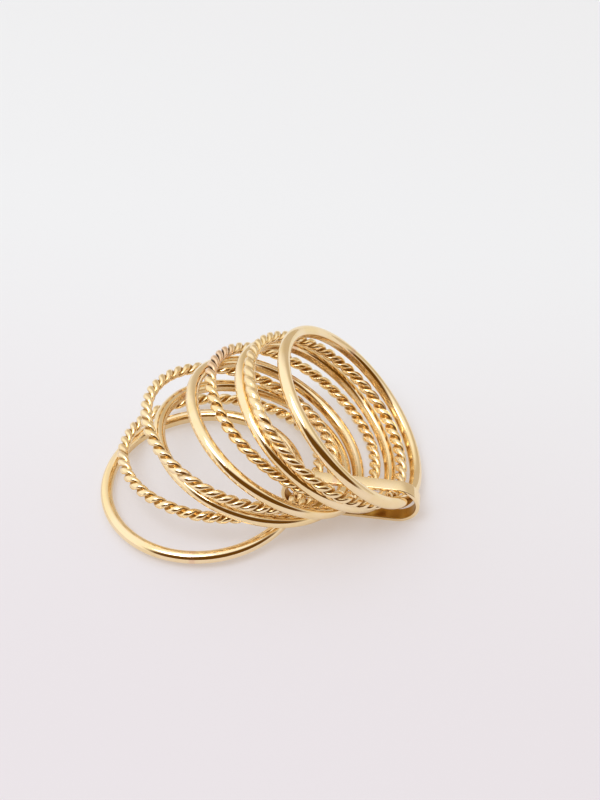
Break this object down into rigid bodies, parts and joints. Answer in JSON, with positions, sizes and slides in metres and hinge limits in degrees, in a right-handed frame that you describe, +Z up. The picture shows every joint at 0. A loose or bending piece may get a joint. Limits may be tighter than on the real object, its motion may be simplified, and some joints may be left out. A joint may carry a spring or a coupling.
{
  "type": "linked stacking finger ring",
  "caption": "Finger ring of slim gold hoops, plain and twisted rope in turn, threaded through one oval keeper link and fanned out.",
  "frame": {"origin": "middle of the flat foot of the oval link, on the surface that the ring lies on", "axes": "+Z up; X along the link, with the hoops fanned out towards -X; -Y towards the link's open face and the viewer"},
  "size_m": [0.0309, 0.0245, 0.0153],
  "materials": {
    "polished_gold": "polished yellow gold",
    "rope_gold": "bright twisted yellow gold wire",
    "link_gold": "polished yellow gold strip"
  },
  "bodies": {
    "root": {"hoop_1_plain": "polished_gold", "hoop_2_rope": "rope_gold", "hoop_3_plain": "polished_gold", "hoop_4_rope": "rope_gold", "hoop_5_plain": "polished_gold", "hoop_6_rope": "rope_gold", "hoop_7_plain": "polished_gold", "hoop_8_rope": "rope_gold", "hoop_9_plain": "polished_gold", "oval_link": "link_gold"}
  },
  "joints": []
}
